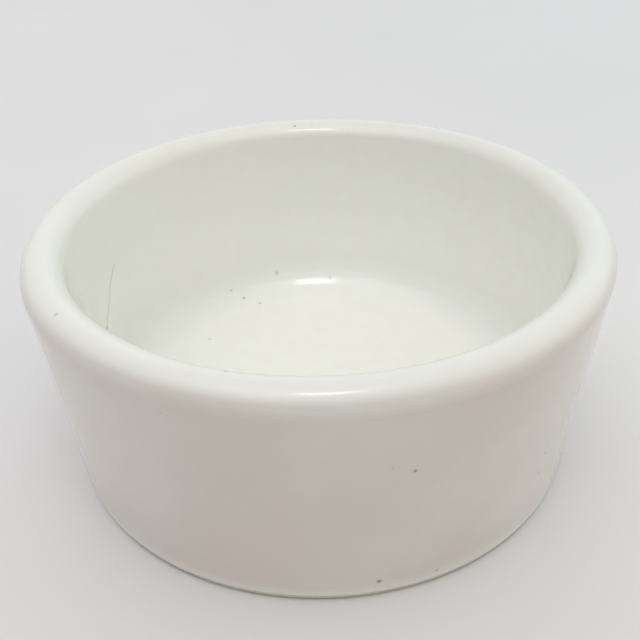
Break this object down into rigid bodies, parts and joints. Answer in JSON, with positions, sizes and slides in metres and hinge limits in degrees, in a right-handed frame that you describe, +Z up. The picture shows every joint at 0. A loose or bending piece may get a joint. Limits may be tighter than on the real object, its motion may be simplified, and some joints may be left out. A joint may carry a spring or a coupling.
{
  "type": "evaporating dish",
  "caption": "Flat-bottomed round porcelain dish with a thick tapered wall and rounded rim, glazed all over but for the foot, for evaporating liquids.",
  "frame": {"origin": "middle of the foot, on the surface that the dish stands on", "axes": "+Z up along the dish's own axis; X and Y are alike, because the dish is round"},
  "size_m": [0.075, 0.075, 0.0332],
  "materials": {
    "bisque": "matt, fine-grained unglazed porcelain",
    "glaze": "gloss, clear glaze over white porcelain"
  },
  "bodies": {
    "root": {"porcelain_body": "bisque", "glaze_coat": "glaze"}
  },
  "joints": []
}
